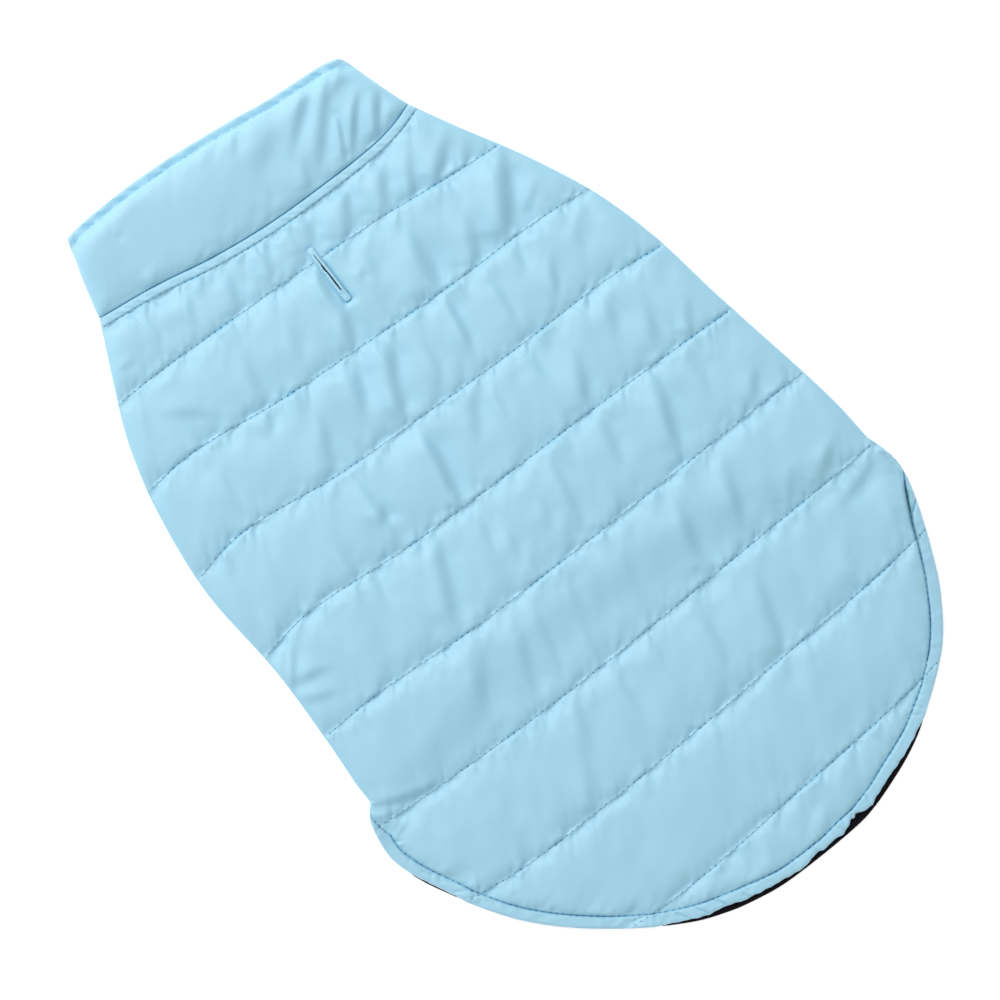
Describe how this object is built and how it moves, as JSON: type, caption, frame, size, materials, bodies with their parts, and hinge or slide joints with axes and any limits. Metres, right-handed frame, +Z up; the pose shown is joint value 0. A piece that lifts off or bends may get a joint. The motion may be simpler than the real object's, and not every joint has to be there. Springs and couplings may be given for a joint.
{
  "type": "dog winter coat",
  "caption": "Quilted, padded winter coat for a medium dog with a stand collar, a leash slit and a fleece lined tail flap, laid flat with its back up.",
  "frame": {"origin": "on the table under the middle of the coat's bounding box", "axes": "+Y along the spine towards the collar, +X to the right seen from above with the collar up, +Z up from the table"},
  "size_m": [0.2699, 0.4054, 0.0109],
  "materials": {
    "shell": "light blue polyester weave with a soft sheen",
    "facing": "light blue polyester weave, stitched flat",
    "fleece": "black fleece with a short nap"
  },
  "bodies": {
    "root": {"back_panel": "shell", "belly_panel": "shell", "collar_back": "shell", "collar_chest": "shell", "leash_slit_facing": "facing", "tail_lining": "fleece"}
  },
  "joints": []
}
